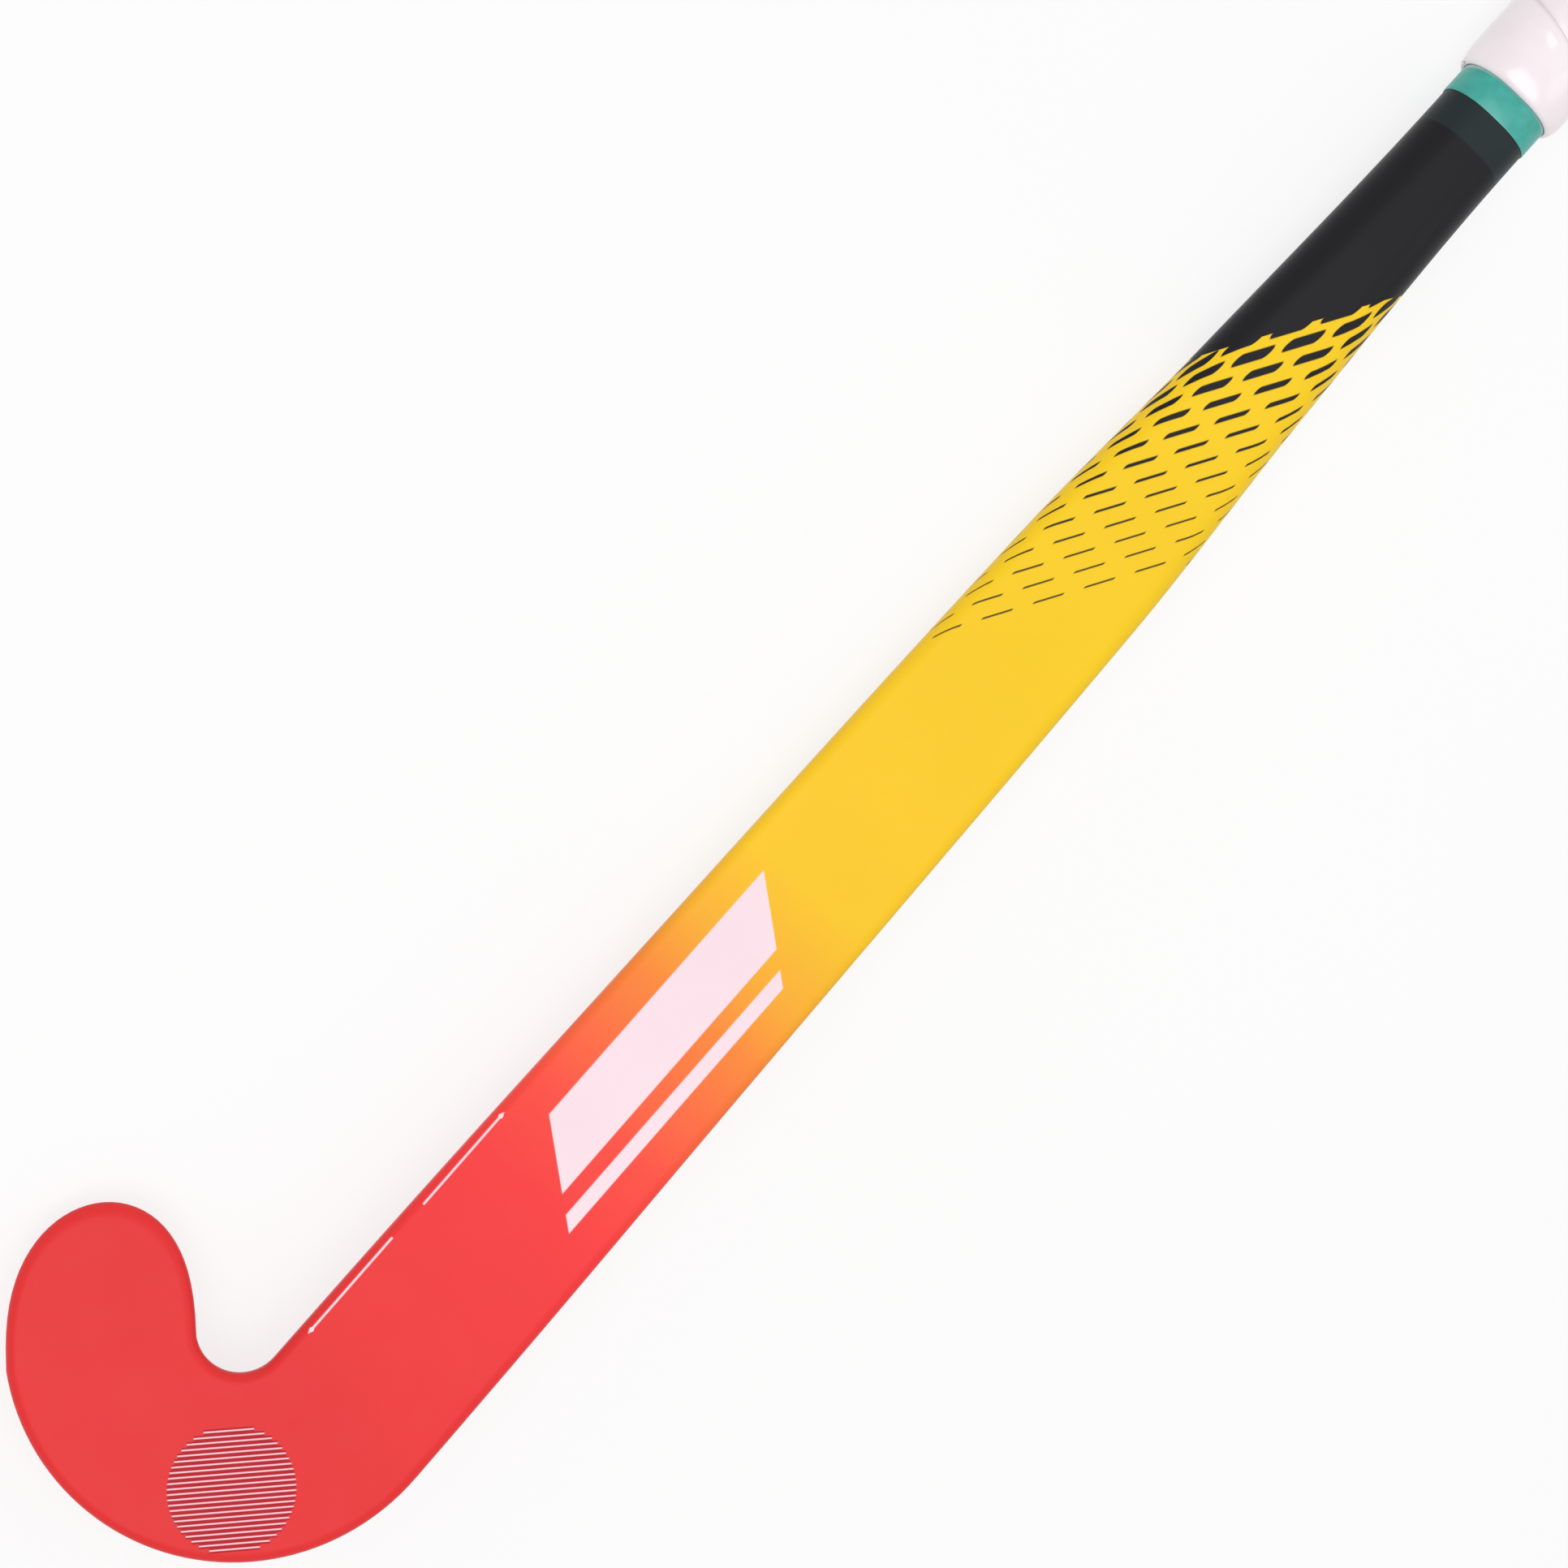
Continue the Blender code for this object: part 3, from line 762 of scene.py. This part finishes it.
# Butt cap: a step of a round is (way in from the face, inset), one of the groove (depth, height)
CAP_INNER = 1.0
CAP_LOWER_ROUND = ((0.0, 0.5), (0.4, 0.0))
CAP_UPPER_ROUND = ((1.4, 0.0), (0.5, 0.5), (0.0, 1.6))
CAP_GROOVE = ((0.0, -3.5), (0.6, -4.0), (0.6, -6.5), (0.0, -7.0))
CAP_MIDDLE = -9.0
CAP_SHADES = ((0.3, srgb(34, 34, 37)), (0.7, srgb(46, 46, 49)))
CAP_GRAIN = (1.6, 4.0)
CAP_BUMP = (0.00015, 0.5)
CAP_PATCHES = (0.3, 3.0)
CAP_ROUGHNESS = (0.5, 0.68)


def cap_material():
    """Grained dark rubber."""
    g = Graph("cap_rubber")
    place = g.place()
    grain = g.noise(place, *CAP_GRAIN)
    rough = g.drift(place, CAP_PATCHES, CAP_ROUGHNESS)
    return g.set(Base_Color=g.ramp(grain, CAP_SHADES), Roughness=rough, Normal=g.bump(grain, *CAP_BUMP))


def cap():
    """Cap on the butt, rounded at both edges, with a shallow groove round the middle of its end."""
    start = LENGTH - CAP_THICKNESS
    steps = [(start, CAP_INNER)]
    steps += [(start + ahead, GRIP_OUT - inset) for ahead, inset in CAP_LOWER_ROUND]
    steps += [(LENGTH - behind, GRIP_OUT - inset) for behind, inset in CAP_UPPER_ROUND]
    steps += [(LENGTH - depth, height) for depth, height in CAP_GROOVE]
    steps.append((LENGTH, CAP_MIDDLE))
    handle_loft("butt_end_cap", steps, cap_material(), ["butt_cap"], False)


# Hidden CAD pieces keep their solids and get their own materials

GRAIN_DETAIL = 3.0
GRAIN_STOPS = (0.35, 0.65)
GRAIN_RANGE = (0.3, 0.7)
GRAIN_ROUGHNESS = 0.12
GRAIN_BUMP = (0.0001, 0.4)


def grained(name, dark, light, scale, roughness):
    """Grained material for a CAD node, from its object coordinates."""
    g = Graph(name)
    place = g.node("ShaderNodeTexCoord").outputs["Object"]
    grain = g.noise(place, scale, GRAIN_DETAIL)
    colour = g.ramp(grain, tuple(zip(GRAIN_STOPS, (dark, light))))
    rough = g.span(grain, *GRAIN_RANGE, roughness, roughness + GRAIN_ROUGHNESS)
    return g.set(Base_Color=colour, Roughness=rough, Normal=g.bump(grain, *GRAIN_BUMP))


def dress(material, *names):
    """Give CAD nodes their material."""
    for name in names:
        slots = frame["nodes"][name].data.materials
        slots.clear()
        slots.append(material)


def dress_hidden():
    """Materials of the pieces inside."""
    carbon = grained("carbon_ply", srgb(28, 28, 30), srgb(48, 48, 52), scale=900.0, roughness=0.35)
    dress(carbon, "face_ply", "back_ply")
    glass = grained("glass_laminate", srgb(196, 192, 170), srgb(222, 218, 200), scale=500.0, roughness=0.45)
    dress(glass, "toe_side_tube", "heel_side_tube")
    filler = grained("core_filler", srgb(190, 176, 140), srgb(212, 198, 164), scale=260.0, roughness=0.75)
    dress(filler, "head_core")
    foam = grained("underlay_foam", srgb(70, 70, 73), srgb(92, 92, 96), scale=700.0, roughness=0.8)
    dress(foam, "grip_underlay")
    plug = grained("plug_plastic", srgb(38, 38, 41), srgb(54, 54, 58), scale=420.0, roughness=0.5)
    dress(plug, "handle_plug")


# Stage, light and camera

WHITE = srgb(255, 255, 255)
FLOOR_SIZE = 30.0
FLOOR_DROP = 0.0002
FLOOR_SHADES = ((0.3, srgb(244, 244, 244)), (0.7, srgb(248, 248, 248)))
FLOOR_CLOUD = (3.0, 2.0)
FLOOR_ROUGHNESS = 0.9
FLOOR_GLOW = 0.8
WORLD_LIGHT = 0.45
KEY_AT = (-0.5, 0.5, 1.9)
KEY_SIZE = 1.8
KEY_POWER = 21.5
FILL_AT = (0.9, -0.8, 1.6)
FILL_SIZE = 1.4
FILL_POWER = 4.7


def seen_directly(tree):
    """1 for the rays that show a background: those from the camera, from gloss and through glass."""
    rays = tree.nodes.new("ShaderNodeLightPath")
    total = rays.outputs["Is Camera Ray"]
    for name in ("Is Glossy Ray", "Is Transmission Ray"):
        either = tree.nodes.new("ShaderNodeMath")
        either.operation = "MAXIMUM"
        tree.links.new(total, either.inputs[0])
        tree.links.new(rays.outputs[name], either.inputs[1])
        total = either.outputs[0]
    return total


def add_floor():
    """Floor that looks nearly white and keeps the stick's shadow."""
    g = Graph("pale_floor")
    place = g.node("ShaderNodeTexCoord").outputs["Object"]
    colour = g.ramp(g.noise(place, *FLOOR_CLOUD), FLOOR_SHADES)
    g.set(Base_Color=colour, Roughness=FLOOR_ROUGHNESS, Specular_IOR_Level=0.0)
    glow = g.node("ShaderNodeEmission")
    blend = g.node("ShaderNodeMixShader")
    g.put(blend.inputs[0], g.math("MULTIPLY", seen_directly(g.tree), FLOOR_GLOW))
    g.put(blend.inputs[1], g.shader.outputs[0])
    g.put(blend.inputs[2], glow.outputs[0])
    g.put(g.tree.nodes["Material Output"].inputs["Surface"], blend.outputs[0])
    bpy.ops.mesh.primitive_plane_add(size=FLOOR_SIZE, location=(0.0, 0.0, -FLOOR_DROP))
    floor = bpy.context.object
    floor.name = "floor"
    floor.data.materials.append(g.material)


def add_area(name, place, size, power):
    """Round soft lamp that points at the middle of the floor under the stick."""
    light = bpy.data.lights.new(name, "AREA")
    light.shape = "DISK"
    light.size = size
    light.energy = power
    lamp = bpy.data.objects.new(name, light)
    lamp.location = place
    lamp.rotation_euler = (-Vector(place)).to_track_quat("-Z", "Y").to_euler()
    bpy.context.scene.collection.objects.link(lamp)


def add_light():
    """White light from all round, with a key and a fill lamp."""
    world = bpy.data.worlds.new("studio")
    world.use_nodes = True
    tree = world.node_tree
    light = tree.nodes["Background"]
    light.inputs["Color"].default_value = WHITE
    light.inputs["Strength"].default_value = WORLD_LIGHT
    white = tree.nodes.new("ShaderNodeBackground")
    white.inputs["Color"].default_value = WHITE
    blend = tree.nodes.new("ShaderNodeMixShader")
    tree.links.new(seen_directly(tree), blend.inputs[0])
    tree.links.new(light.outputs[0], blend.inputs[1])
    tree.links.new(white.outputs[0], blend.inputs[2])
    tree.links.new(blend.outputs[0], tree.nodes["World Output"].inputs["Surface"])
    bpy.context.scene.world = world
    add_area("key", KEY_AT, KEY_SIZE, KEY_POWER)
    add_area("fill", FILL_AT, FILL_SIZE, FILL_POWER)


def add_camera():
    """Camera at the photograph's viewing angle."""
    place = STICK @ Vector(CAMERA_AT)
    target = STICK @ Vector(CAMERA_TARGET)
    back = (place - target).normalized()
    up = (STICK.to_3x3() @ Vector(CAMERA_UP)).normalized()
    right = up.cross(back).normalized()
    up = back.cross(right)
    camera = bpy.data.cameras.new("camera")
    camera.sensor_width = SENSOR
    camera.lens = FOCAL_PIXELS / PHOTO_PIXELS * SENSOR
    obj = bpy.data.objects.new("camera", camera)
    obj.matrix_world = Matrix.Translation(place) @ Matrix((right, up, back)).transposed().to_4x4()
    bpy.context.scene.collection.objects.link(obj)
    bpy.context.scene.camera = obj


add_camera()
stick_body()
wound_grip()
collar()
cap()
dress_hidden()
add_floor()
add_light()
bpy.context.scene.view_settings.view_transform = "Standard"
